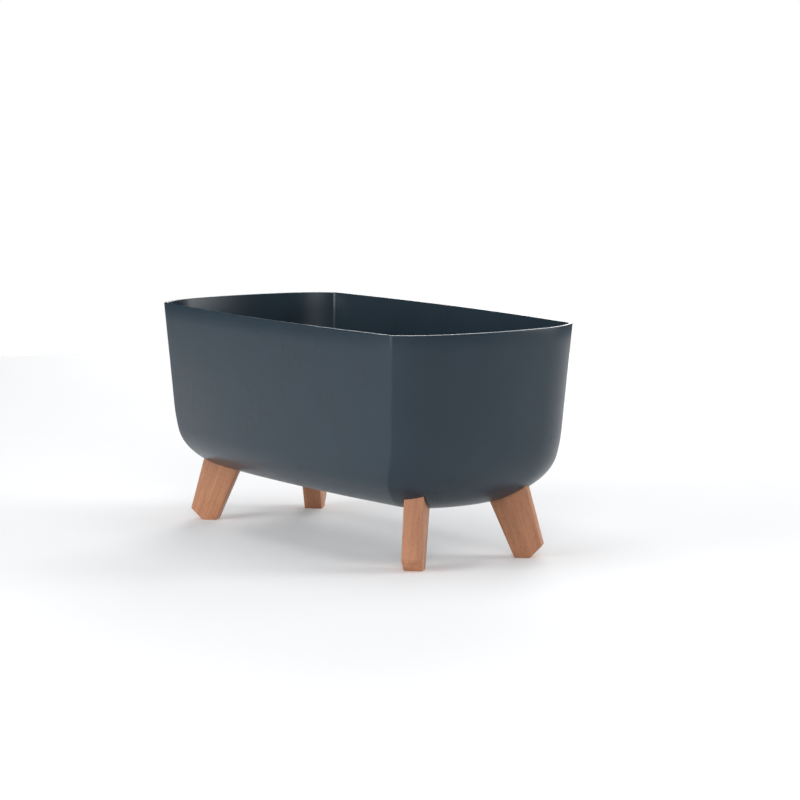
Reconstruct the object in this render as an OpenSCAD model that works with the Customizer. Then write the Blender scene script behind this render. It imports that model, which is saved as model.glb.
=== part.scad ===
// Raised trough planter: a thin moulded shell on four splayed board legs, with a lift-out
// drainage insert that stands on its wicking cups. Millimetres, X along the planter's length,
// Z up, origin on the floor under the middle of the planter.

/* [Planter] */
// Overall length at the rim
planter_length = 590; // [480:5:720]
// Overall width at the rim, across the middle of the long sides
planter_width = 295; // [250:5:360]
// Height of the rim above the floor
planter_height = 283; // [250:1:345]
// Height of the shell's underside above the floor
shell_lift = 65.5; // [54:0.5:79]

/* [Shell] */
// Thickness of the walls
wall_t = 3.5; // [2.5:0.1:4.5]
// Thickness of the bottom
floor_t = 3.5; // [2.5:0.1:4.5]
// How far the short ends lean inward for each millimetre down
end_draft = 0.098; // [0.06:0.002:0.12]
// How far the long sides lean inward for each millimetre down
side_draft = 0.062; // [0.03:0.002:0.08]
// Horizontal reach of the rounding under the short ends
end_round_in = 73; // [50:1:88]
// Vertical reach of the rounding under the short ends
end_round_up = 88; // [60:1:110]
// Horizontal reach of the rounding under the long sides
side_round_in = 85; // [60:1:90]
// Vertical reach of the rounding under the long sides
side_round_up = 55; // [40:1:70]

/* [Outline] */
// How far the middle of a short end stands out past its two corners
end_bow = 6.3; // [3:0.1:12]
// How far the middle of a long side stands out past its two corners
side_bow = 16.8; // [12:0.1:24]
// Length of a corner along X
corner_x = 36; // [28:1:44]
// Length of a corner along Y
corner_y = 75.8; // [60:0.1:88]
// Radius of the tight bend between a corner and the long side
bend_r = 8; // [4:0.5:10]

/* [Legs] */
// Distance of the feet in from the short end's outside at the height of the legs' heads
foot_in_x = 35; // [30:0.5:45]
// Distance of the feet in from the long side's outside at the height of the legs' heads
foot_in_y = 51.8; // [46:0.1:60]
// Thickness of the leg boards
leg_t = 23.5; // [18:0.5:26]
// Length of the flat that stands on the floor
foot_l = 18.5; // [14:0.5:24]
// Size of the slanted cut at the outer foot corner
toe_cut = 14.8; // [8:0.2:18]
// Lean of the leg's inner edge from upright
inner_lean = 23.9; // [18:0.1:26]
// Lean of the leg's outer edge from upright
outer_lean = 15; // [8:0.5:18]
// How far the leg's head rises above the shell's underside
head_rise = 38; // [34:0.5:42]
// Bevel on the leg's edges
leg_bevel = 1.2; // [0.5:0.1:2]

/* [Leg sockets and fasteners] */
// Gap between a leg and its socket, all round
socket_gap = 1; // [0.4:0.1:1.5]
// Thickness of a socket's walls and roof
socket_t = 3; // [2:0.1:4]
// Radius of the screw's shank
screw_r = 3; // [2.5:0.5:4]
// Length of the screw under its head
screw_l = 28; // [22:1:32]
// Radius of the screw's head
screw_head_r = 5.4; // [4.5:0.1:7]
// Height of the screw's head
screw_head_h = 3.6; // [2.5:0.1:4.5]
// Outer radius of the steel washer
washer_r = 8; // [7:0.5:10]
// Thickness of the steel washer
washer_t = 1.4; // [1:0.1:2]
// Thickness of the rubber sealing ring
seal_t = 2; // [1.5:0.1:2.5]
// Wall of the brass insert in the leg
sleeve_t = 1.6; // [1.2:0.1:2.5]
// Length of the brass insert in the leg
sleeve_l = 15; // [10:1:18]

/* [Drainage insert] */
// Thickness of the insert's plate and walls
plate_t = 2; // [1.6:0.1:2.6]
// Gap between the insert and the shell's wall
insert_gap = 1.2; // [0.6:0.1:2]
// Gap between the wicking cups and the shell's floor
seat_gap = 0.3; // [0.2:0.1:1]
// Gap between the plate and the screws' heads under it
plate_gap = 5; // [2:0.1:8]
// Height of the lip round the plate
lip_h = 7.5; // [5:0.5:10]
// Radius of a wicking cup at the plate
cup_top_r = 22.4; // [18:0.2:24]
// Radius of a wicking cup at its bottom
cup_bottom_r = 11.4; // [9:0.2:13]
// Spacing of the wicking cups along a row
cup_pitch = 74; // [60:1:76]
// Least gap between the last cup of a row and the dome beyond it
cup_end_gap = 18; // [12:1:30]
// Number of slots round a cup
cup_slots = 8; // [4:1:10]
// Width of the slots and of the slits in the plate
slot_w = 3; // [2:0.1:4]
// Distance of the domes in from the plate's ends
dome_in = 80.6; // [76:0.1:88]
// Distance of the domes from the middle, along Y
dome_y = 42.5; // [38:0.5:48]
// Radius of a dome at the plate
dome_r = 22.3; // [18:0.1:24]
// Radius of a dome's flat top
dome_top_r = 15; // [10:0.1:17]
// Height of the domes
dome_h = 13; // [8:0.5:18]
// Gap between the ridge's ends and the domes, along X
ridge_end_gap = 8.7; // [4:0.1:30]
// Width of the ridge at the plate
ridge_w = 46; // [30:1:50]
// Gap between the ridge and the wicking cups
ridge_gap = 14.1; // [8:0.1:20]
// How far the ridge's sides lean inward from the plate to its flat top
ridge_lean = 7; // [3:0.5:8]
// Height of the ridge
ridge_h = 13; // [8:0.5:18]
// Gap between the filling tube and the leg sockets on both sides of it
tube_gap = 7; // [4:0.5:9]
// Outer radius of the filling collar
collar_r = 23; // [18:0.5:24]
// Height of the filling collar above the plate
collar_h = 8; // [5:0.5:12]
// Height of the filling tube's lower end above the shell's rounded floor
tube_lift = 6.7; // [4:0.1:20]
// Spacing of the drainage slits
slit_pitch = 22; // [18:0.5:26]
// Length of a drainage slit
slit_l = 22; // [16:1:26]
// Distance of the slits from the plate's long edge
slit_margin = 18; // [14:1:22]

/* [Hidden] */
// Overlap of joined shapes, and how far a cutting shape runs past what it cuts.
eps = 0.01;
cut = 1;
round_fn = 64;

half_l = planter_length / 2;
half_w = planter_width / 2;

// Outline of the rim: one quarter runs from the middle of a short end to the middle of a long side
// in four arcs that meet smoothly, then it is mirrored round.
arc_steps = 4;
bend_steps = 4;
end_y = half_w - corner_y;
end_r = (end_y * end_y + end_bow * end_bow) / (2 * end_bow);
end_turn = asin(end_y / end_r);
corner_start = [half_l - end_bow, end_y];
corner_chord = [end_bow - corner_x, corner_y - side_bow];
start_tangent = [-sin(end_turn), cos(end_turn)];
half_sweep = atan2(
    start_tangent.x * corner_chord.y - start_tangent.y * corner_chord.x,
    start_tangent * corner_chord
);
corner_r = norm(corner_chord) / (2 * sin(half_sweep));
corner_turn = end_turn + 2 * half_sweep;
corner_end = corner_start + corner_chord;
bend_centre = corner_end - bend_r * [cos(corner_turn), sin(corner_turn)];
bend_drop = half_w - bend_centre.y;
side_r = (bend_centre.x * bend_centre.x + bend_drop * bend_drop - bend_r * bend_r)
    / (2 * (bend_drop - bend_r));
side_centre = [0, half_w - side_r];
side_turn = atan2(bend_centre.y - side_centre.y, bend_centre.x);

function arc(centre, r, from, to, steps) = [
    for (i = [1 : steps])
        let (angle = from + (to - from) * i / steps)
        centre + r * [cos(angle), sin(angle)]
];
quarter = concat(
    [[half_l, 0]],
    arc([half_l - end_r, 0], end_r, 0, end_turn, arc_steps),
    arc(corner_start - corner_r * [cos(end_turn), sin(end_turn)], corner_r, end_turn, corner_turn, arc_steps),
    arc(bend_centre, bend_r, corner_turn, side_turn, bend_steps),
    arc(side_centre, side_r, side_turn, 90, arc_steps)
);
last = len(quarter) - 1;
rim_outline = concat(
    quarter,
    [for (i = [last - 1 : -1 : 0]) [-quarter[i].x, quarter[i].y]],
    [for (i = [1 : last]) [-quarter[i].x, -quarter[i].y]],
    [for (i = [last - 1 : -1 : 1]) [quarter[i].x, -quarter[i].y]]
);
outline_n = len(rim_outline);

// Half the shell's size at height z. t is how far the surface lies inside the outer one.
function fillet_share(z, reach, t) =
    let (u = min(1, max(0, (shell_lift + reach - z) / (reach - t))))
    1 - sqrt(1 - u * u);
function half_x(z, t = 0, t_floor = 0) =
    half_l - t - end_draft * (planter_height - z)
    - (end_round_in - t) * fillet_share(z, end_round_up, t_floor);
function half_y(z, t = 0, t_floor = 0) =
    half_w - t - side_draft * (planter_height - z)
    - (side_round_in - t) * fillet_share(z, side_round_up, t_floor);
function section(z, t = 0, t_floor = 0) = [
    for (p = rim_outline)
        [p.x * half_x(z, t, t_floor) / half_l, p.y * half_y(z, t, t_floor) / half_w]
];

// Heights of the rings from the top down: the straight wall, then the rounding.
wall_rings = 2;
round_rings = 11;
function ring_heights(top, bottom) = concat(
    [for (i = [0 : wall_rings - 1]) top - (top - shell_lift - end_round_up) * i / wall_rings],
    [
        for (i = [0 : round_rings])
            bottom + (shell_lift + end_round_up - bottom) * (1 - sin(90 * i / round_rings))
    ]
);

// Legs: the side view of a board, x outward along the diagonal and y up.
leg_angle = 45;
head_z = shell_lift + head_rise;
foot_x = half_x(head_z) - foot_in_x;
foot_y = half_y(head_z) - foot_in_y;
toe_x = foot_l / 2 + toe_cut;
leg_profile = [
    [-foot_l / 2, 0],
    [foot_l / 2, 0],
    [toe_x, toe_cut],
    [toe_x - (head_z - toe_cut) * tan(outer_lean), head_z],
    [-foot_l / 2 - head_z * tan(inner_lean), head_z]
];
function cross2(a, b) = a.x * b.y - a.y * b.x;
// A convex outline, counter-clockwise, with every side moved inward by d (outward where d < 0).
function inset(points, d) = [
    for (i = [0 : len(points) - 1])
        let (
            n = len(points),
            before = points[i] - points[(i + n - 1) % n],
            after = points[(i + 1) % n] - points[i],
            u = before / norm(before),
            v = after / norm(after),
            shift = [-u.y, u.x] * d - [-v.y, v.x] * d
        )
        points[i] + [-v.y, v.x] * d + v * (cross2(shift, u) / cross2(v, u))
];

// The fastener stack stands over the middle of a leg's head.
screw_in = -(leg_profile[3].x + leg_profile[4].x) / 2;
roof_z = head_z + socket_gap + socket_t;
washer_z = roof_z + seal_t;
screw_z = washer_z + washer_t;
screw_gap = 0.3;
washer_gap = 0.2;
press_gap = 0.05;
seal_inset = 0.5;
hex_share = 0.75;

// Drainage insert: the plate lies over the screws and the cups stand just clear of the rounded floor.
plate_z = screw_z + screw_head_h + plate_gap;
plate_x = half_x(plate_z, wall_t, floor_t) - insert_gap;
plate_y = half_y(plate_z, wall_t, floor_t) - insert_gap;
slot_overrun = 1.5;
slot_reach = cup_top_r + slot_overrun - cup_bottom_r / 2;
dome_x = plate_x - dome_in;
shoulder_share = 0.25;
dome_shoulder = dome_h * shoulder_share;
cup_span = 2 * (dome_x - dome_r - cup_top_r - cup_end_gap);
cups_per_row = 1 + floor(cup_span / cup_pitch);
cup_xs = [for (i = [0 : cups_per_row - 1]) (i - (cups_per_row - 1) / 2) * cup_pitch];
ridge_l = 2 * (dome_x - dome_r - ridge_end_gap);
cup_row_y = ridge_w / 2 + ridge_gap + cup_top_r;

// Height of the shell's rounded floor above its middle, at a point that lies reach from the middle
// where the wall would come down to the floor at wall.
function floor_rise(reach, wall, round_in, round_up) =
    let (
        share = min(1, max(0, (wall - reach) / (round_in - wall_t))),
        u = sqrt(1 - pow(1 - share, 2))
    )
    (round_up - floor_t) * (1 - u);
floor_z = shell_lift + floor_t;
floor_wall_x = half_l - wall_t - end_draft * (planter_height - floor_z);
floor_wall_y = half_w - wall_t - side_draft * (planter_height - floor_z);

// The outermost cups stand on the floor's rounding, whose sides bow inward towards the ends.
// The flats between the shell's rings lie inside the true curve by up to flat_sag.
cup_reach_x = (cup_xs[cups_per_row - 1] + cup_bottom_r) * half_l / half_x(shell_lift, wall_t, floor_t);
side_share = (side_centre.y + sqrt(side_r * side_r - cup_reach_x * cup_reach_x)) / half_w;
cup_reach_y = (cup_row_y + cup_bottom_r) / side_share;
flat_sag = side_bow / pow(2 * arc_steps, 2) + side_round_in * (1 - cos(45 / round_rings));
seat_z = floor_z + floor_rise(cup_reach_y, floor_wall_y, side_round_in, side_round_up) + flat_sag + seat_gap;
cup_depth = plate_z - seat_z;
cup_foot = 7;

// The filling tube stands in the wedge between the two leg sockets at its end.
tube_r = collar_r - plate_t;
socket_half = leg_t / 2 + socket_gap + socket_t;
collar_x = foot_x - foot_y + (socket_half + tube_r + tube_gap) / sin(leg_angle);
tube_rise = floor_rise(collar_x + tube_r, floor_wall_x, end_round_in, end_round_up);
tube_l = plate_z - floor_z - tube_rise - tube_lift;

slit_reach = plate_y - slit_margin;
slit_bend_in = 123.4;
slit_bend_x = plate_x - slit_bend_in;
slit_bend_slope = 0.38;
slits_each_way = floor((dome_x + dome_r) / slit_pitch);
end_slit_l = 14;
end_slit_x = dome_x + dome_r + end_slit_l;
end_slit_share = 0.75;
end_slit_y = dome_y * end_slit_share;

module smooth_form(top, t, t_floor) {
    bottom = shell_lift + t_floor;
    heights = ring_heights(top, bottom);
    rings = len(heights);
    points = concat(
        [for (z = heights) each [for (p = section(z, t, t_floor)) [p.x, p.y, z]]],
        [[0, 0, top], [0, 0, bottom]]
    );
    top_middle = rings * outline_n;
    last_ring = (rings - 1) * outline_n;
    faces = concat(
        [
            for (k = [0 : rings - 2], i = [0 : outline_n - 1])
                let (a = k * outline_n, b = a + outline_n, j = (i + 1) % outline_n)
                each [[a + i, a + j, b + j], [a + i, b + j, b + i]]
        ],
        [for (i = [0 : outline_n - 1]) [top_middle, (i + 1) % outline_n, i]],
        [
            for (i = [0 : outline_n - 1])
                [top_middle + 1, last_ring + i, last_ring + (i + 1) % outline_n]
        ]
    );
    polyhedron(points, faces);
}

module at_leg(along, across) {
    translate([along * foot_x, across * foot_y, 0])
        rotate(atan2(across * sin(leg_angle), along * cos(leg_angle)))
            children();
}

module at_every_leg() {
    for (along = [-1, 1], across = [-1, 1])
        at_leg(along, across)
            children();
}

module leg_slab(grow, thickness) {
    rotate([90, 0, 0])
        linear_extrude(thickness, center = true)
            polygon(inset(leg_profile, -grow));
}

// A straight block over a leg's socket, from inside the shell's bottom up to the socket's roof.
module socket_block() {
    leg_slab(socket_gap + socket_t, 2 * socket_half);
}

module screw_hole(r, from, to) {
    translate([-screw_in, 0, from])
        cylinder(r = r, h = to - from, $fn = round_fn);
}

module planter_shell() {
    color("#46515a")
        difference() {
            smooth_form(planter_height, 0, 0);
            difference() {
                smooth_form(planter_height + cut, wall_t, floor_t);
                at_every_leg() socket_block();
            }
            at_every_leg() {
                leg_slab(socket_gap, leg_t + 2 * socket_gap);
                screw_hole(screw_r + screw_gap, head_z, roof_z + cut);
            }
        }
}

module leg(along, across) {
    color("#b8805f")
        at_leg(along, across)
            difference() {
                hull() {
                    leg_slab(0, leg_t - 2 * leg_bevel);
                    leg_slab(-leg_bevel, leg_t);
                }
                screw_hole(screw_r + sleeve_t, head_z - sleeve_l, head_z + cut);
                screw_hole(screw_r + screw_gap, screw_z - screw_l - cut, head_z);
            }
}

module leg_front_left() leg(-1, -1);
module leg_front_right() leg(1, -1);
module leg_back_left() leg(-1, 1);
module leg_back_right() leg(1, 1);

module ring(outer, inner, height) {
    difference() {
        cylinder(r = outer, h = height, $fn = round_fn);
        translate([0, 0, -cut])
            cylinder(r = inner, h = height + 2 * cut, $fn = round_fn);
    }
}

module leg_screws() {
    color("silver")
        at_every_leg()
            translate([-screw_in, 0, screw_z]) {
                difference() {
                    union() {
                        cylinder(r = screw_head_r, h = screw_head_h, $fn = round_fn);
                        translate([0, 0, -screw_l])
                            cylinder(r = screw_r, h = screw_l + eps, $fn = round_fn);
                    }
                    translate([0, 0, screw_head_h / 2])
                        cylinder(r = screw_r * hex_share, h = screw_head_h, $fn = 6);
                }
            }
}

module screw_washers() {
    color("lightgrey")
        at_every_leg()
            translate([-screw_in, 0, washer_z])
                ring(washer_r, screw_r + washer_gap, washer_t);
}

module sealing_rings() {
    color("#222222")
        at_every_leg()
            translate([-screw_in, 0, roof_z])
                ring(washer_r - seal_inset, screw_r + press_gap, seal_t);
}

module threaded_sleeves() {
    color("goldenrod")
        at_every_leg()
            translate([-screw_in, 0, head_z - sleeve_l])
                ring(screw_r + sleeve_t, screw_r + press_gap, sleeve_l);
}

module plate_shape(shrink) {
    polygon([
        for (p = rim_outline)
            [p.x * (plate_x - shrink) / half_l, p.y * (plate_y - shrink) / half_w]
    ]);
}

// A block with sloped sides and ends, standing on z = 0 with its top at z = h.
module ridge_block(l, w, h) {
    top_w = w - 2 * ridge_lean;
    intersection() {
        rotate([90, 0, 90])
            linear_extrude(l, center = true)
                polygon([[-w / 2, 0], [w / 2, 0], [top_w / 2, h], [-top_w / 2, h]]);
        rotate([90, 0, 0])
            linear_extrude(w, center = true)
                polygon([[-l / 2, 0], [l / 2, 0], [l / 2 - ridge_lean, h], [ridge_lean - l / 2, h]]);
    }
}

// A dome: a round hump with sloped sides and a rounded shoulder, standing on z = 0.
module dome_hump(r, top_r, h) {
    rotate_extrude($fn = round_fn)
        polygon(concat(
            [[0, 0], [r, 0]],
            [
                for (i = [0 : bend_steps])
                    let (angle = 90 * i / bend_steps)
                    [top_r, h] - dome_shoulder * [1 - cos(angle), 1 - sin(angle)]
            ],
            [[0, h]]
        ));
}

module at_each_cup() {
    for (x = cup_xs, side = [-1, 1])
        translate([x, side * cup_row_y, 0])
            children();
}

module at_each_dome() {
    for (x = [-dome_x, dome_x], y = [-dome_y, dome_y])
        translate([x, y, 0])
            children();
}

// Slots through a cup's wall, from near its bottom up through the plate's edge.
module cup_slot_cuts() {
    for (i = [0 : cup_slots - 1])
        rotate(360 * i / cup_slots)
            translate([cup_bottom_r / 2, -slot_w / 2, cup_foot - cup_depth])
                cube([slot_reach, slot_w, cup_depth - cup_foot + plate_t + cut]);
}

module plate_slits() {
    slit_cut = 2 * (plate_t + cut);
    for (i = [0 : slits_each_way - 1], along = [-1, 1], across = [-1, 1]) {
        x = (i + 0.5) * slit_pitch;
        y_out = slit_reach - slit_bend_slope * max(0, x - slit_bend_x);
        translate([along * x, across * (y_out - slit_l / 2), 0])
            cube([slot_w / 2, slit_l, slit_cut], center = true);
    }
    for (across = [-1, 1], along = [-1, 1])
        translate([along * end_slit_x, across * end_slit_y, 0])
            cube([end_slit_l, slot_w / 2, slit_cut], center = true);
    translate([-dome_x - end_slit_l / 2, 0, 0])
        cube([end_slit_l, slot_w / 2, slit_cut], center = true);
}

module drainage_insert() {
    cup_slope = (cup_top_r - cup_bottom_r) / cup_depth;
    color("#2c3134")
        translate([0, 0, plate_z])
            difference() {
                union() {
                    linear_extrude(plate_t) plate_shape(0);
                    linear_extrude(plate_t + lip_h)
                        difference() {
                            plate_shape(0);
                            plate_shape(plate_t);
                        }
                    at_each_cup()
                        translate([0, 0, -cup_depth])
                            cylinder(r1 = cup_bottom_r, r2 = cup_top_r, h = cup_depth, $fn = round_fn);
                    translate([0, 0, plate_t]) {
                        at_each_dome() dome_hump(dome_r, dome_top_r, dome_h);
                        ridge_block(ridge_l, ridge_w, ridge_h);
                    }
                    translate([collar_x, 0, -tube_l])
                        cylinder(r = tube_r, h = tube_l + plate_t, $fn = round_fn);
                    translate([collar_x, 0, 0])
                        cylinder(r = collar_r, h = plate_t + collar_h, $fn = round_fn);
                }
                at_each_cup() {
                    translate([0, 0, plate_t - cup_depth])
                        cylinder(
                            r1 = cup_bottom_r - plate_t,
                            r2 = cup_top_r - plate_t + (plate_t + cut) * cup_slope,
                            h = cup_depth + cut,
                            $fn = round_fn
                        );
                    cup_slot_cuts();
                }
                translate([0, 0, -eps]) {
                    at_each_dome() dome_hump(dome_r - plate_t, dome_top_r - plate_t / 2, dome_h);
                    ridge_block(ridge_l - 2 * plate_t, ridge_w - 2 * plate_t, ridge_h);
                }
                translate([collar_x, 0, -tube_l - cut])
                    cylinder(r = tube_r - plate_t, h = tube_l + plate_t + collar_h + 2 * cut, $fn = round_fn);
                plate_slits();
            }
}

planter_shell();
drainage_insert();
leg_front_left();
leg_front_right();
leg_back_left();
leg_back_right();
leg_screws();
screw_washers();
sealing_rings();
threaded_sleeves();
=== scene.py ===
import math

import bmesh
import bpy
import numpy as np
from mathutils import Matrix, Vector


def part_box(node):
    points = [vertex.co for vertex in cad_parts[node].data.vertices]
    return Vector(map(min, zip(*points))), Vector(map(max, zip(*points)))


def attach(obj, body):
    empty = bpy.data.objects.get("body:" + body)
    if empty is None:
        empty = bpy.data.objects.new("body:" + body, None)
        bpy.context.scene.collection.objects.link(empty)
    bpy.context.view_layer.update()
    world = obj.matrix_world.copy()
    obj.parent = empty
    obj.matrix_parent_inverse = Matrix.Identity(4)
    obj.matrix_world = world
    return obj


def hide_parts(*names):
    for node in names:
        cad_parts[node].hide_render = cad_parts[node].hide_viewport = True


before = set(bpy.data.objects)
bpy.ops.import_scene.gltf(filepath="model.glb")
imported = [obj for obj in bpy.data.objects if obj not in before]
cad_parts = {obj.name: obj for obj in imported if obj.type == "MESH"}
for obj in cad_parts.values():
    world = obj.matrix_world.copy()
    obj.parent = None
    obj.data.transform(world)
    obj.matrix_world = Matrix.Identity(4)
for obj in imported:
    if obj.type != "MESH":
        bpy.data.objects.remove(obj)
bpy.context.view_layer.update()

MM = 0.001

# --- sizes repeated from the design, in metres --------------------------------------------------
WALL = 3.5 * MM
FLOOR = 3.5 * MM
END_DRAFT = 0.098
SIDE_DRAFT = 0.062
END_ROUND = (73 * MM, 88 * MM)
SIDE_ROUND = (85 * MM, 55 * MM)
END_BOW = 6.3 * MM
SIDE_BOW = 16.8 * MM
CORNER = (36 * MM, 75.8 * MM)
BEND_R = 8 * MM
RIM_ROUND = 1.1 * MM

FOOT = (229.48 * MM, 80.41 * MM)
LEG_T = 23.5 * MM
FOOT_L = 18.5 * MM
TOE_CUT = 14.8 * MM
INNER_LEAN = math.radians(23.9)
OUTER_LEAN = math.radians(15)
LEG_BEVEL = 1.3 * MM
SOCKET_GAP = 1 * MM
SOCKET_T = 3 * MM
SCREW_IN = 27.42 * MM
SCREW_HOLE_R = 3.3 * MM

PLATE = 2 * MM
LIP = 7.5 * MM

CUP_TOP_R = 22.4 * MM
CUP_BOTTOM_R = 11.4 * MM
CUP_PITCH = 74 * MM
CUP_ROW_Y = 59.5 * MM
CUPS_PER_ROW = 4
CUP_SLOTS = 8
SLOT_W = 3 * MM
SLOT_FOOT = 7 * MM
SLOT_OVERRUN = 1.5 * MM
DOME_IN = 80.6 * MM
DOME_Y = 42.5 * MM
DOME_R = 22.3 * MM
DOME_TOP_R = 15 * MM
DOME_H = 13 * MM
RIDGE_END_GAP = 8.7 * MM
RIDGE_W = 46 * MM
RIDGE_TOP_W = 32 * MM
RIDGE_H = 13 * MM
COLLAR_X = 210.94 * MM
COLLAR_R = 23 * MM
COLLAR_H = 8 * MM
TUBE_L = 34.98 * MM
SLIT_PITCH = 22 * MM
SLIT_L = 22 * MM
SLIT_MARGIN = 18 * MM
SLIT_BEND_IN = 123.4 * MM
SLIT_BEND_SLOPE = 0.38
END_SLIT_L = 14 * MM
END_SLIT_SHARE = 0.75

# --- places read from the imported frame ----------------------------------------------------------
shell_low, shell_high = (Vector(c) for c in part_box("planter_shell"))
HALF_L = (shell_high.x - shell_low.x) / 2
HALF_W = (shell_high.y - shell_low.y) / 2
RIM_Z = shell_high.z
LIFT = shell_low.z
HEAD_Z = Vector(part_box("leg_front_right")[1]).z
insert_low, insert_high = (Vector(c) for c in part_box("drainage_insert"))
PLATE_Z = insert_high.z - DOME_H - PLATE
CUP_DEPTH = PLATE_Z - insert_low.z
PLATE_X = (insert_high.x - insert_low.x) / 2
PLATE_Y = (insert_high.y - insert_low.y) / 2
DOME = (PLATE_X - DOME_IN, DOME_Y)
RIDGE_L = 2 * (DOME[0] - DOME_R - RIDGE_END_GAP)
SLIT_BEND_X = PLATE_X - SLIT_BEND_IN
LEG_SIDES = {
    "leg_front_left": (-1, -1),
    "leg_front_right": (1, -1),
    "leg_back_left": (-1, 1),
    "leg_back_right": (1, 1),
}


# --- outlines -----------------------------------------------------------------------------------
def arc(centre, radius, start, end, steps):
    angles = np.radians(start + (end - start) * np.arange(1, steps + 1) / steps)
    return np.array(centre) + radius * np.c_[np.cos(angles), np.sin(angles)]


def unit(angle):
    return np.array([math.cos(math.radians(angle)), math.sin(math.radians(angle))])


def rim_outline(steps):
    """The rim's outline, counter-clockwise: each quarter is four arcs that meet smoothly."""
    end_y = HALF_W - CORNER[1]
    end_r = (end_y**2 + END_BOW**2) / (2 * END_BOW)
    end_turn = math.degrees(math.asin(end_y / end_r))
    start = np.array([HALF_L - END_BOW, end_y])
    chord = np.array([END_BOW - CORNER[0], CORNER[1] - SIDE_BOW])
    tangent = np.array([-unit(end_turn)[1], unit(end_turn)[0]])
    cross = tangent[0] * chord[1] - tangent[1] * chord[0]
    half_sweep = math.degrees(math.atan2(cross, float(tangent @ chord)))
    corner_r = np.linalg.norm(chord) / (2 * math.sin(math.radians(half_sweep)))
    corner_turn = end_turn + 2 * half_sweep
    bend = start + chord - BEND_R * unit(corner_turn)
    drop = HALF_W - bend[1]
    side_r = (bend[0] ** 2 + drop**2 - BEND_R**2) / (2 * (drop - BEND_R))
    side_turn = math.degrees(math.atan2(bend[1] - HALF_W + side_r, bend[0]))
    quarter = np.vstack([
        [[HALF_L, 0]],
        arc((HALF_L - end_r, 0), end_r, 0, end_turn, steps),
        arc(start - corner_r * unit(end_turn), corner_r, end_turn, corner_turn, steps),
        arc(bend, BEND_R, corner_turn, side_turn, steps),
        arc((0, HALF_W - side_r), side_r, side_turn, 90, 2 * steps),
    ])
    return np.vstack([
        quarter,
        (quarter * (-1, 1))[-2::-1],
        (quarter * (-1, -1))[1:],
        (quarter * (1, -1))[-2:0:-1],
    ])


RIM = rim_outline(8)


def fillet_share(z, reach, t):
    u = min(1, max(0, (LIFT + reach - z) / (reach - t)))
    return 1 - math.sqrt(1 - u * u)


def section(z, t=0.0, t_floor=0.0, grow=0.0):
    """The shell's outline at height z, t inside the outer surface and grow outside that."""
    x = HALF_L - t - END_DRAFT * (RIM_Z - z) - (END_ROUND[0] - t) * fillet_share(z, END_ROUND[1], t_floor)
    y = HALF_W - t - SIDE_DRAFT * (RIM_Z - z) - (SIDE_ROUND[0] - t) * fillet_share(z, SIDE_ROUND[1], t_floor)
    return RIM * ((x + grow) / HALF_L, (y + grow) / HALF_W)


def at_height(outline, z):
    return np.c_[outline, np.full(len(outline), z)]


# --- mesh tools ---------------------------------------------------------------------------------
def link(name, mesh):
    obj = bpy.data.objects.new(name, mesh)
    bpy.context.scene.collection.objects.link(obj)
    return obj


def loft(name, loops):
    """A closed solid through a stack of loops with the same number of points, capped at both ends."""
    loops = np.asarray(loops)
    count, n = loops.shape[:2]
    faces = [list(range(n))[::-1], [(count - 1) * n + i for i in range(n)]]
    for k in range(count - 1):
        for i in range(n):
            j = (i + 1) % n
            faces.append([k * n + i, k * n + j, (k + 1) * n + j, (k + 1) * n + i])
    mesh = bpy.data.meshes.new(name)
    mesh.from_pydata(loops.reshape(-1, 3).tolist(), [], faces)
    shape = bmesh.new()
    shape.from_mesh(mesh)
    bmesh.ops.recalc_face_normals(shape, faces=shape.faces)
    shape.to_mesh(mesh)
    shape.free()
    return link(name, mesh)


def circle(r, steps=64):
    angles = 2 * math.pi * np.arange(steps) / steps
    return r * np.c_[np.cos(angles), np.sin(angles)]


def lathe(name, profile, centre=(0, 0), steps=64):
    """A solid of revolution through (radius, height) pairs, about a vertical axis at centre."""
    return loft(name, [at_height(circle(r, steps) + centre, z) for r, z in profile])


def cuboid(name, low, high, turn=0.0, centre=(0, 0)):
    corners = np.array([[low[0], low[1]], [high[0], low[1]], [high[0], high[1]], [low[0], high[1]]])
    c, s = math.cos(turn), math.sin(turn)
    corners = corners @ np.array([[c, s], [-s, c]]) + centre
    return loft(name, [at_height(corners, low[2]), at_height(corners, high[2])])


def joined(name, objects):
    """One object that holds the meshes of several, which go away."""
    shape = bmesh.new()
    for obj in objects:
        shape.from_mesh(obj.data)
        drop_object(obj)
    mesh = bpy.data.meshes.new(name)
    shape.to_mesh(mesh)
    shape.free()
    return link(name, mesh)


def drop_object(obj):
    mesh = obj.data
    bpy.data.objects.remove(obj)
    if mesh.users == 0:
        bpy.data.meshes.remove(mesh)


def bake_modifiers(obj):
    graph = bpy.context.evaluated_depsgraph_get()
    mesh = bpy.data.meshes.new_from_object(obj.evaluated_get(graph))
    obj.modifiers.clear()
    old, obj.data = obj.data, mesh
    bpy.data.meshes.remove(old)


def combine(obj, tools, operation):
    """Adds or cuts the tools, one after the other, then deletes them."""
    for tool in tools:
        step = obj.modifiers.new(tool.name, "BOOLEAN")
        step.operation = operation
        step.solver = "MANIFOLD"
        step.object = tool
    bpy.context.view_layer.update()
    bake_modifiers(obj)
    for tool in tools:
        drop_object(tool)
    return obj


def smooth(obj, angle):
    """Smooth shading, with a crease wherever two faces meet at more than the angle, in degrees."""
    mesh = obj.data
    mesh.polygons.foreach_set("use_smooth", [True] * len(mesh.polygons))
    mesh.set_sharp_from_angle(angle=math.radians(angle))


def rename_mesh(obj, name):
    obj.name = name
    obj.data.name = name


# --- the shell ----------------------------------------------------------------------------------
def shell_heights(top, bottom, walls=6, rounds=30):
    knee = LIFT + END_ROUND[1]
    straight = [top - (top - knee) * i / walls for i in range(walls)]
    turn = [bottom + (knee - bottom) * (1 - math.sin(math.pi / 2 * i / rounds)) for i in range(rounds + 1)]
    return straight + turn


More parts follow.
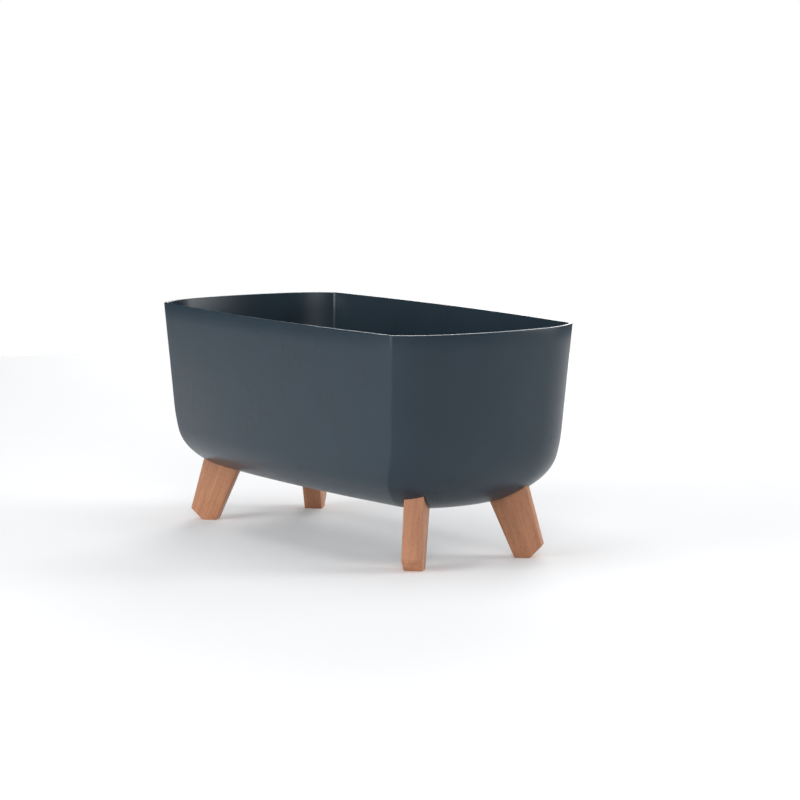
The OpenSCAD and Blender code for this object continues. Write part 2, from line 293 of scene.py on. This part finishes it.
def shell_form(name, t, t_floor, rim):
    """rim is the list of (height over the rim's rounding, growth) rings at the very top."""
    base = RIM_Z - RIM_ROUND
    loops = [at_height(section(base, t, t_floor, grow), z) for z, grow in rim]
    loops += [at_height(section(z, t, t_floor), z) for z in shell_heights(base, LIFT + t_floor)]
    return loft(name, loops[::-1])


def rim_rounding(direction, steps=5):
    rings = []
    for i in range(steps, 0, -1):
        angle = math.pi / 2 * i / steps
        growth = direction * RIM_ROUND * (1 - math.cos(angle))
        rings.append((RIM_Z - RIM_ROUND * (1 - math.sin(angle)), growth))
    return rings


def leg_outline(grow):
    """The leg board's side view, outward along the diagonal and up, moved outward by grow."""
    toe = FOOT_L / 2 + TOE_CUT
    points = np.array([
        [-FOOT_L / 2, 0],
        [FOOT_L / 2, 0],
        [toe, TOE_CUT],
        [toe - (HEAD_Z - TOE_CUT) * math.tan(OUTER_LEAN), HEAD_Z],
        [-FOOT_L / 2 - HEAD_Z * math.tan(INNER_LEAN), HEAD_Z],
    ])
    before = points - np.roll(points, 1, axis=0)
    after = np.roll(points, -1, axis=0) - points
    u = before / np.linalg.norm(before, axis=1)[:, None]
    v = after / np.linalg.norm(after, axis=1)[:, None]
    out_u, out_v = np.c_[u[:, 1], -u[:, 0]], np.c_[v[:, 1], -v[:, 0]]
    shift = (out_u - out_v) * grow
    reach = (shift[:, 0] * u[:, 1] - shift[:, 1] * u[:, 0]) / (v[:, 0] * u[:, 1] - v[:, 1] * u[:, 0])
    return points + out_v * grow + v * reach[:, None]


def leg_place(along, across):
    turn = math.atan2(across, along)
    return Matrix.Translation((along * FOOT[0], across * FOOT[1], 0)) @ Matrix.Rotation(turn, 4, "Z")


def leg_slab(name, along, across, grow, thickness):
    outline = leg_outline(grow)
    loops = [[(x, y, z) for x, z in outline] for y in (-thickness / 2, thickness / 2)]
    slab = loft(name, loops)
    slab.data.transform(leg_place(along, across))
    return slab


def screw_bore(name, along, across, low, high):
    middle = leg_place(along, across) @ Vector((-SCREW_IN, 0, 0))
    return lathe(name, [(SCREW_HOLE_R, low), (SCREW_HOLE_R, high)], (middle.x, middle.y), 32)


def build_shell():
    outer = shell_form("shell_outer", 0.0, 0.0, rim_rounding(-1))
    above = 4 * MM
    flare = [(RIM_Z + above, RIM_ROUND)] + rim_rounding(1)
    cavity = shell_form("shell_cavity", WALL, FLOOR, flare)
    block_grow = SOCKET_GAP + SOCKET_T
    sides = list(LEG_SIDES.values())
    blocks = [leg_slab("block", a, b, block_grow, LEG_T + 2 * block_grow) for a, b in sides]
    soften = 2.4 * MM
    for block in blocks:
        round_edges(block, soften, 3)
    combine(cavity, blocks, "DIFFERENCE")
    pockets = [leg_slab("pocket", a, b, SOCKET_GAP, LEG_T + 2 * SOCKET_GAP) for a, b in sides]
    roof = HEAD_Z + SOCKET_GAP + SOCKET_T
    bores = [screw_bore("bore", a, b, HEAD_Z, roof + 2 * MM) for a, b in sides]
    combine(outer, [cavity] + pockets + bores, "DIFFERENCE")
    rename_mesh(outer, "shell_body")
    smooth(outer, 32)
    return outer


def round_edges(obj, width, segments):
    bevel = obj.modifiers.new("bevel", "BEVEL")
    bevel.width = width
    bevel.segments = segments
    bevel.limit_method = "ANGLE"
    bevel.angle_limit = math.radians(20)
    bpy.context.view_layer.update()
    bake_modifiers(obj)


# --- the legs -----------------------------------------------------------------------------------
def build_leg(name, along, across):
    leg = leg_slab(name + "_board", along, across, 0.0, LEG_T)
    round_edges(leg, LEG_BEVEL, 3)
    combine(leg, [screw_bore("bore", along, across, HEAD_Z - 20 * MM, HEAD_Z + 2 * MM)], "DIFFERENCE")
    rename_mesh(leg, name + "_board")
    smooth(leg, 40)
    lean = Matrix.Rotation(-(INNER_LEAN + OUTER_LEAN) / 2, 4, "Y")
    to_board = (leg_place(along, across) @ lean).inverted()
    field = leg.data.attributes.new("board", "FLOAT_VECTOR", "POINT")
    shift = Vector((0.31 * along, 0.17 * across, 0.23 * along * across))
    values = [tuple(to_board @ v.co + shift) for v in leg.data.vertices]
    field.data.foreach_set("vector", np.array(values, dtype=np.float32).ravel())
    return leg


# --- the drainage insert ------------------------------------------------------------------------
def plate_outline(shrink):
    return RIM * ((PLATE_X - shrink) / HALF_L, (PLATE_Y - shrink) / HALF_W)


def quarter_turn(r, steps=4):
    """(inward, up) offsets round a quarter circle of radius r, from upright to level."""
    angles = [math.pi / 2 * i / steps for i in range(steps + 1)]
    return [(r * (1 - math.cos(a)), r * math.sin(a)) for a in angles]


def plate_with_lip():
    """The plate and its lip as one solid: up the outside, over the lip and down to the plate."""
    edge = 0.8 * MM
    hollow = 2.5 * MM
    low, top, rim = PLATE_Z, PLATE_Z + PLATE, PLATE_Z + PLATE + LIP
    rings = [
        (edge * (1 - math.sin(a)), low + edge * (1 - math.cos(a)))
        for a in np.linspace(0, math.pi / 2, 4)
    ]
    rings += [(x, rim - edge + z) for x, z in quarter_turn(edge)]
    rings += [(PLATE - x, rim - edge + z) for x, z in quarter_turn(edge)[::-1]]
    rings += [
        (PLATE + hollow * (1 - math.cos(a)), top + hollow * (1 - math.sin(a)))
        for a in np.linspace(0, math.pi / 2, 6)
    ]
    return loft("plate", [at_height(plate_outline(x), z) for x, z in rings])


def hump_profile(run, height, foot, shoulder, steps=6):
    """(inward, up) pairs of a sloped side with a rounded foot and a rounded shoulder."""
    slope = math.atan2(height, run)
    turns = [slope * i / steps for i in range(steps + 1)]
    lead = foot * math.tan(slope / 2)
    top = shoulder * math.tan(slope / 2)
    up = [(-lead + foot * math.sin(a), foot * (1 - math.cos(a))) for a in turns]
    over = [
        (run + top - shoulder * math.sin(a), height - shoulder * (1 - math.cos(a)))
        for a in turns[::-1]
    ]
    return up + over


def rounded_box(length, width, radius, steps=5):
    corners = []
    for cx, cy, start in ((1, 1, 0), (-1, 1, 90), (-1, -1, 180), (1, -1, 270)):
        centre = np.array([cx * (length / 2 - radius), cy * (width / 2 - radius)])
        corners += [centre + radius * unit(start + 90 * i / steps) for i in range(steps + 1)]
    return np.array(corners)


def dome(name, centre, r, top_r, height, base):
    profile = hump_profile(r - top_r, height, 3 * MM, 4 * MM)
    rings = [(r - x, base + z) for x, z in profile]
    sink = 0.5 * MM
    return lathe(name, [(rings[0][0], base - sink)] + rings, centre)


def ridge(name, length, width, top_width, height, base):
    profile = hump_profile((width - top_width) / 2, height, 2.5 * MM, 3 * MM)
    sink = 0.5 * MM
    corner = 10 * MM
    profile = [(profile[0][0], -sink)] + profile
    return loft(name, [
        at_height(rounded_box(length - 2 * x, width - 2 * x, corner - x), base + z) for x, z in profile
    ])


def cup_places():
    xs = [(i - (CUPS_PER_ROW - 1) / 2) * CUP_PITCH for i in range(CUPS_PER_ROW)]
    return [(x, side * CUP_ROW_Y) for x in xs for side in (-1, 1)]


def cup_body(name, centre):
    low = PLATE_Z - CUP_DEPTH
    foot = 2 * MM
    slope = (CUP_TOP_R - CUP_BOTTOM_R) / CUP_DEPTH
    rings = [(CUP_BOTTOM_R - foot * (1 - math.sin(a)), low + foot * (1 - math.cos(a)))
             for a in np.linspace(0, math.pi / 2, 5)]
    rings.append((CUP_BOTTOM_R + slope * (CUP_DEPTH + PLATE / 2), PLATE_Z + PLATE / 2))
    return lathe(name, rings, centre, 96)


def cup_hollow(name, centre):
    low = PLATE_Z - CUP_DEPTH + PLATE
    top = PLATE_Z + PLATE
    slope = (CUP_TOP_R - CUP_BOTTOM_R) / CUP_DEPTH
    inner = CUP_BOTTOM_R - PLATE
    mouth = inner + slope * (top - low)
    lead = 0.8 * MM
    rings = [(inner - lead, low), (inner, low + lead), (mouth - lead * slope, top - lead)]
    rings += [(mouth + lead, top), (mouth + 2 * lead, top + lead)]
    return lathe(name, rings, centre, 96)


def cup_slots(centre):
    low = PLATE_Z - CUP_DEPTH + SLOT_FOOT
    near, far = CUP_BOTTOM_R / 2, CUP_TOP_R + SLOT_OVERRUN
    cuts = []
    for i in range(CUP_SLOTS):
        turn = 2 * math.pi * i / CUP_SLOTS
        corners = (near, -SLOT_W / 2, low), (far, SLOT_W / 2, PLATE_Z + 2 * PLATE)
        cuts.append(cuboid("slot", *corners, turn, centre))
    return cuts


def slit(centre, length, along_x):
    half = (length / 2, SLOT_W / 4) if along_x else (SLOT_W / 4, length / 2)
    low, high = PLATE_Z - PLATE, PLATE_Z + 2 * PLATE
    return cuboid("slit", (-half[0], -half[1], low), (half[0], half[1], high), 0.0, centre)


def plate_slits():
    cuts = []
    reach = PLATE_Y - SLIT_MARGIN
    for i in range(int((DOME[0] + DOME_R) / SLIT_PITCH)):
        x = (i + 0.5) * SLIT_PITCH
        y = reach - SLIT_BEND_SLOPE * max(0, x - SLIT_BEND_X) - SLIT_L / 2
        cuts += [slit((a * x, b * y), SLIT_L, False) for a in (-1, 1) for b in (-1, 1)]
    end_x = DOME[0] + DOME_R + END_SLIT_L
    end_y = DOME[1] * END_SLIT_SHARE
    cuts += [slit((a * end_x, b * end_y), END_SLIT_L, True) for a in (-1, 1) for b in (-1, 1)]
    cuts.append(slit((-DOME[0] - END_SLIT_L / 2, 0), END_SLIT_L, True))
    return cuts


def collar_body():
    lip = 1.2 * MM
    flare = 5 * MM
    top = PLATE_Z + PLATE + COLLAR_H
    tube = COLLAR_R - PLATE
    rings = [(tube, PLATE_Z - TUBE_L), (tube, PLATE_Z + PLATE / 2)]
    rings.append((tube + 0.2 * MM, PLATE_Z + PLATE + 1 * MM))
    rings += [(COLLAR_R - lip / 3, top - flare / 2), (COLLAR_R, top - lip)]
    rings += [(COLLAR_R - x, top - lip + z) for x, z in quarter_turn(lip)[1:]]
    return lathe("collar", rings, (COLLAR_X, 0), 96)


def collar_hollow():
    top = PLATE_Z + PLATE + COLLAR_H
    bore = COLLAR_R - 2 * PLATE
    lead = 1.6 * MM
    rings = [(bore, PLATE_Z - TUBE_L - PLATE), (bore, top - 3 * lead)]
    rings += [(bore + lead, top), (bore + lead, top + lead)]
    return lathe("collar_bore", rings, (COLLAR_X, 0), 96)


def build_insert():
    top = PLATE_Z + PLATE
    places = [(a * DOME[0], b * DOME[1]) for a in (-1, 1) for b in (-1, 1)]
    solid = plate_with_lip()
    adds = [dome("dome", place, DOME_R, DOME_TOP_R, DOME_H, top) for place in places]
    adds.append(ridge("ridge", RIDGE_L, RIDGE_W, RIDGE_TOP_W, RIDGE_H, top))
    adds += [cup_body("cup", place) for place in cup_places()]
    adds.append(collar_body())
    combine(solid, adds, "UNION")
    under = PLATE_Z - 0.1 * MM
    inner_r, inner_top_r = DOME_R - PLATE, DOME_TOP_R - PLATE / 2
    cuts = [dome("hollow", place, inner_r, inner_top_r, DOME_H, under) for place in places]
    inner_w, inner_top_w = RIDGE_W - 2 * PLATE, RIDGE_TOP_W - PLATE
    cuts.append(ridge("hollow", RIDGE_L - 2 * PLATE, inner_w, inner_top_w, RIDGE_H, under))
    cuts += [cup_hollow("hollow", place) for place in cup_places()]
    cuts.append(collar_hollow())
    cuts.append(joined("slits", plate_slits()))
    for place in cup_places():
        cuts += cup_slots(place)
    combine(solid, cuts, "DIFFERENCE")
    rename_mesh(solid, "insert_moulding")
    smooth(solid, 32)
    return solid


# --- materials ----------------------------------------------------------------------------------
class Nodes:
    """A short way to add and join shader nodes in one material."""

    def __init__(self, name):
        self.material = bpy.data.materials.new(name)
        self.material.use_nodes = True
        self.tree = self.material.node_tree
        self.tree.nodes.clear()
        self.shader = self.add("ShaderNodeBsdfPrincipled")
        output = self.add("ShaderNodeOutputMaterial")
        self.join(self.shader.outputs["BSDF"], output.inputs["Surface"])

    def add(self, kind, **values):
        node = self.tree.nodes.new(kind)
        for key, value in values.items():
            if key in node.inputs:
                node.inputs[key].default_value = value
            else:
                setattr(node, key, value)
        return node

    def join(self, source, target):
        self.tree.links.new(source, target)

    def place(self, attribute=None):
        if attribute:
            return self.add("ShaderNodeAttribute", attribute_name=attribute).outputs["Vector"]
        return self.add("ShaderNodeTexCoord").outputs["Object"]

    def stretched(self, source, scale):
        node = self.add("ShaderNodeMapping")
        node.inputs["Scale"].default_value = scale
        self.join(source, node.inputs["Vector"])
        return node.outputs["Vector"]

    def noise(self, source, scale, detail=3.0, roughness=0.5, distortion=0.0):
        values = {"Scale": scale, "Detail": detail, "Roughness": roughness, "Distortion": distortion}
        node = self.add("ShaderNodeTexNoise", **values)
        self.join(source, node.inputs["Vector"])
        return node.outputs["Fac"]

    def ramp(self, source, stops):
        node = self.add("ShaderNodeValToRGB")
        marks = node.color_ramp.elements
        while len(marks) < len(stops):
            marks.new(0.5)
        for mark, (position, value) in zip(marks, stops):
            mark.position = position
            mark.color = (*value, 1) if isinstance(value, tuple) else (value, value, value, 1)
        self.join(source, node.inputs["Fac"])
        return node.outputs["Color"]

    def span(self, source, low, high, to_low, to_high):
        node = self.add("ShaderNodeMapRange")
        for key, value in zip(("From Min", "From Max", "To Min", "To Max"), (low, high, to_low, to_high)):
            node.inputs[key].default_value = value
        self.join(source, node.inputs["Value"])
        return node.outputs["Result"]

    def mix(self, factor, a, b, blend="MIX"):
        node = self.add("ShaderNodeMix", data_type="RGBA", blend_type=blend)
        for socket, value in ((node.inputs[0], factor), (node.inputs[6], a), (node.inputs[7], b)):
            if isinstance(value, bpy.types.NodeSocket):
                self.join(value, socket)
            elif isinstance(value, tuple):
                socket.default_value = (*value, 1)
            else:
                socket.default_value = value
        return node.outputs[2]

    def math(self, operation, a, b):
        node = self.add("ShaderNodeMath", operation=operation)
        for socket, value in zip(node.inputs, (a, b)):
            if isinstance(value, bpy.types.NodeSocket):
                self.join(value, socket)
            else:
                socket.default_value = value
        return node.outputs[0]

    def edges(self, low=0.51, high=0.6):
        """1 on convex edges, 0 on flats."""
        return self.span(self.add("ShaderNodeNewGeometry").outputs["Pointiness"], low, high, 0.0, 1.0)

    def bump(self, height, strength, distance, before=None):
        node = self.add("ShaderNodeBump", Strength=strength, Distance=distance)
        self.join(height, node.inputs["Height"])
        if before:
            self.join(before, node.inputs["Normal"])
        return node.outputs["Normal"]


def moulded_plastic(name, colour, edge_wear_and_highlight, roughness, specular):
    """Fine-grained moulded plastic: mottled colour, uneven gloss, a faint texture and paler edges, partly
    wear and partly a painted edge highlight.
    """
    n = Nodes(name)
    here = n.place()
    cloud = n.noise(here, 14, 4)
    fine = n.noise(here, 900, 2)
    grain = n.noise(here, 2600, 2)
    dark = tuple(c * 0.93 for c in colour)
    light = tuple(c * 1.07 for c in colour)
    base = n.mix(n.span(cloud, 0.3, 0.7, 0, 1), dark, light)
    edge = n.edges(0.52, 0.62)
    # Convex edges turn towards the paler edge colour: partly wear, partly a painted edge highlight standing
    # in for light catching the rim.
    base = n.mix(n.math("MULTIPLY", edge, 0.35), base, edge_wear_and_highlight)
    n.join(base, n.shader.inputs["Base Color"])
    rough = n.math("ADD", n.span(cloud, 0.25, 0.75, roughness - 0.035, roughness + 0.035),
                   n.span(fine, 0.3, 0.7, -0.015, 0.015))
    rough = n.math("ADD", rough, n.math("MULTIPLY", edge, 0.35))
    n.join(rough, n.shader.inputs["Roughness"])
    n.shader.inputs["Specular IOR Level"].default_value = specular
    n.join(n.bump(n.mix(0.5, fine, grain), 0.04, 0.0002), n.shader.inputs["Normal"])
    return n.material


def oiled_wood(name):
    """Reddish-brown close-grained board: long soft figure, short dark flecks and fine pores."""
    n = Nodes(name)
    here = n.place("board")
    along = n.stretched(here, (1.0, 1.0, 0.09))
    figure = n.noise(along, 90, 4, 0.55, 0.6)
    streaks = n.noise(n.stretched(here, (1.0, 1.0, 0.035)), 420, 3, 0.6, 0.3)
    flecks = n.noise(n.stretched(here, (1.0, 1.0, 0.3)), 900, 2, 0.5)
    speckle = n.noise(here, 1500, 2, 0.6)
    tones = [(0.3, (0.42, 0.185, 0.092)), (0.52, (0.55, 0.25, 0.13)), (0.72, (0.65, 0.32, 0.172))]
    base = n.ramp(figure, tones)
    base = n.mix(n.span(streaks, 0.55, 0.75, 0.0, 0.5), base, (0.27, 0.115, 0.065))
    base = n.mix(n.span(flecks, 0.58, 0.72, 0.0, 0.45), base, (0.22, 0.09, 0.05))
    base = n.mix(n.span(speckle, 0.6, 0.75, 0.0, 0.3), base, (0.68, 0.4, 0.28))
    base = n.mix(n.math("MULTIPLY", n.edges(0.51, 0.57), 0.4), base, (0.24, 0.1, 0.055))
    n.join(base, n.shader.inputs["Base Color"])
    n.join(n.span(flecks, 0.3, 0.7, 0.42, 0.6), n.shader.inputs["Roughness"])
    n.shader.inputs["Specular IOR Level"].default_value = 0.45
    coarse = n.bump(streaks, 0.25, 0.0004)
    n.join(n.bump(flecks, 0.3, 0.0003, coarse), n.shader.inputs["Normal"])
    return n.material


def plated_metal(name, colour, dull, roughness, turned):
    """Metal with fine turned or brushed lines, small stains and brighter edges."""
    n = Nodes(name)
    here = n.place()
    lines = n.noise(n.stretched(here, (1.0, 1.0, 14.0) if turned else (1.0, 9.0, 1.0)), 700, 3)
    stain = n.noise(here, 260, 4)
    base = n.mix(n.span(stain, 0.4, 0.7, 0.0, 0.6), colour, dull)
    base = n.mix(n.math("MULTIPLY", n.edges(), 0.5), base, tuple(min(1, c * 1.25) for c in colour))
    n.join(base, n.shader.inputs["Base Color"])
    n.shader.inputs["Metallic"].default_value = 1.0
    n.join(n.span(lines, 0.3, 0.7, roughness - 0.08, roughness + 0.12), n.shader.inputs["Roughness"])
    n.join(n.bump(lines, 0.2, 0.0001), n.shader.inputs["Normal"])
    return n.material


def sealing_rubber(name):
    n = Nodes(name)
    here = n.place()
    cloud = n.noise(here, 300, 4)
    pores = n.noise(here, 2200, 2)
    base = n.mix(n.span(cloud, 0.3, 0.7, 0, 1), (0.018, 0.018, 0.019), (0.04, 0.04, 0.042))
    n.join(base, n.shader.inputs["Base Color"])
    n.join(n.span(pores, 0.3, 0.7, 0.65, 0.85), n.shader.inputs["Roughness"])
    n.join(n.bump(pores, 0.3, 0.0002), n.shader.inputs["Normal"])
    return n.material


def dress(obj, material):
    obj.data.materials.clear()
    obj.data.materials.append(material)


def dress_node(name, material):
    """A CAD node keeps its mesh and takes the material on its object's own slots."""
    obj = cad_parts[name]
    if not obj.material_slots:
        obj.data.materials.append(None)
    for place in obj.material_slots:
        place.link = "OBJECT"
        place.material = material


# --- camera, floor and light --------------------------------------------------------------------
def build_camera():
    azimuth, elevation = math.radians(55.1), math.radians(7.05)
    back = Vector((
        math.sin(azimuth) * math.cos(elevation),
        -math.cos(azimuth) * math.cos(elevation),
        math.sin(elevation),
    ))
    right = Vector((math.cos(azimuth), math.sin(azimuth), 0))
    up = back.cross(right)
    aim = Vector((0, 0, 0.150)) + right * 0.04841 + up * 0.02277
    data = bpy.data.cameras.new("camera")
    data.lens = 136.9
    data.sensor_width = 36
    data.clip_start, data.clip_end = 0.1, 100
    camera = bpy.data.objects.new("camera", data)
    bpy.context.scene.collection.objects.link(camera)
    turn = Matrix((right, up, back)).transposed().to_4x4()
    camera.matrix_world = Matrix.Translation(aim + back * 3.801) @ turn
    bpy.context.scene.camera = camera


def build_floor():
    n = Nodes("floor_paint")
    here = n.place()
    cloud = n.noise(here, 3, 3)
    n.join(n.mix(cloud, (0.86, 0.865, 0.875), (0.89, 0.895, 0.905)), n.shader.inputs["Base Color"])
    n.shader.inputs["Roughness"].default_value = 0.9
    n.shader.inputs["Specular IOR Level"].default_value = 0.1
    n.shader.inputs["Emission Color"].default_value = (1, 1, 1, 1)
    n.shader.inputs["Emission Strength"].default_value = 0.1
    floor = link("floor", disc_mesh("floor", 2.2, 128))
    dress(floor, n.material)


def disc_mesh(name, radius, steps):
    mesh = bpy.data.meshes.new(name)
    points = at_height(circle(radius, steps), 0.0)
    mesh.from_pydata(points.tolist(), [], [list(range(steps))])
    return mesh


def area_light(name, place, aim, size, power, colour=(1, 1, 1)):
    data = bpy.data.lights.new(name, "AREA")
    data.shape = "RECTANGLE"
    data.size, data.size_y = size
    data.energy = power
    data.color = colour
    light = bpy.data.objects.new(name, data)
    bpy.context.scene.collection.objects.link(light)
    light.location = place
    light.rotation_euler = (Vector(place) - Vector(aim)).to_track_quat("Z", "Y").to_euler()
    return light


def build_world():
    world = bpy.data.worlds.new("studio")
    bpy.context.scene.world = world
    world.use_nodes = True
    tree = world.node_tree
    tree.nodes.clear()
    output = tree.nodes.new("ShaderNodeOutputWorld")
    seen = tree.nodes.new("ShaderNodeBackground")
    seen.inputs["Color"].default_value = (1, 1, 1, 1)
    seen.inputs["Strength"].default_value = 1.0
    fill = tree.nodes.new("ShaderNodeBackground")
    fill.inputs["Color"].default_value = (0.93, 0.96, 1.0, 1)
    fill.inputs["Strength"].default_value = 0.02
    path = tree.nodes.new("ShaderNodeLightPath")
    choose = tree.nodes.new("ShaderNodeMixShader")
    tree.links.new(path.outputs["Is Camera Ray"], choose.inputs[0])
    tree.links.new(fill.outputs[0], choose.inputs[1])
    tree.links.new(seen.outputs[0], choose.inputs[2])
    tree.links.new(choose.outputs[0], output.inputs["Surface"])


def build_lights():
    build_world()
    middle = (0, 0, 0.15)
    for name, place, size, power in (
        ("front", (-0.3, -3.2, 0.9), (2.0, 1.4), 68),
        ("front_left", (-1.2, -2.6, 2.4), (1.6, 1.6), 6),
        ("front_right", (2.6, -1.6, 1.6), (1.2, 1.2), 30),
        ("top", (0, 0, 3.2), (3.0, 3.0), 54),
        ("top_back", (0.2, 2.4, 2.6), (2.5, 1.6), 11),
        ("back_left", (-2.4, 2.4, 1.4), (1.6, 2.0), 60),
        ("back_right", (2.2, 3.2, 1.2), (1.6, 2.0), 72),
    ):
        area_light(name, place, middle, size, power)
    bpy.context.scene.view_settings.view_transform = "Standard"
    bpy.context.scene.view_settings.look = "None"


# --- the whole object ---------------------------------------------------------------------------
def main():
    anthracite, charcoal = (0.022, 0.037, 0.051), (0.022, 0.025, 0.028)
    # The third colour of each plastic is its paler edge colour: partly wear, partly a painted edge
    # highlight.
    shell_plastic = moulded_plastic("anthracite_plastic", anthracite, (0.04, 0.055, 0.07), 0.3, 0.28)
    insert_plastic = moulded_plastic("charcoal_plastic", charcoal, (0.05, 0.055, 0.06), 0.42, 0.4)
    wood = oiled_wood("oiled_wood")
    zinc = plated_metal("zinc_plate", (0.62, 0.63, 0.64), (0.42, 0.42, 0.41), 0.34, False)
    brass = plated_metal("brass", (0.72, 0.50, 0.22), (0.45, 0.30, 0.14), 0.3, True)
    rubber = sealing_rubber("sealing_rubber")

    shell = build_shell()
    dress(shell, shell_plastic)
    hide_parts("planter_shell")
    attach(shell, "planter")

    insert = build_insert()
    dress(insert, insert_plastic)
    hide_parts("drainage_insert")
    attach(insert, "insert")

    for name, (along, across) in LEG_SIDES.items():
        leg = build_leg(name, along, across)
        dress(leg, wood)
        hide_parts(name)
        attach(leg, "planter")

    dress_node("leg_screws", zinc)
    dress_node("screw_washers", zinc)
    dress_node("threaded_sleeves", brass)
    dress_node("sealing_rings", rubber)

    build_camera()
    build_floor()
    build_lights()


main()
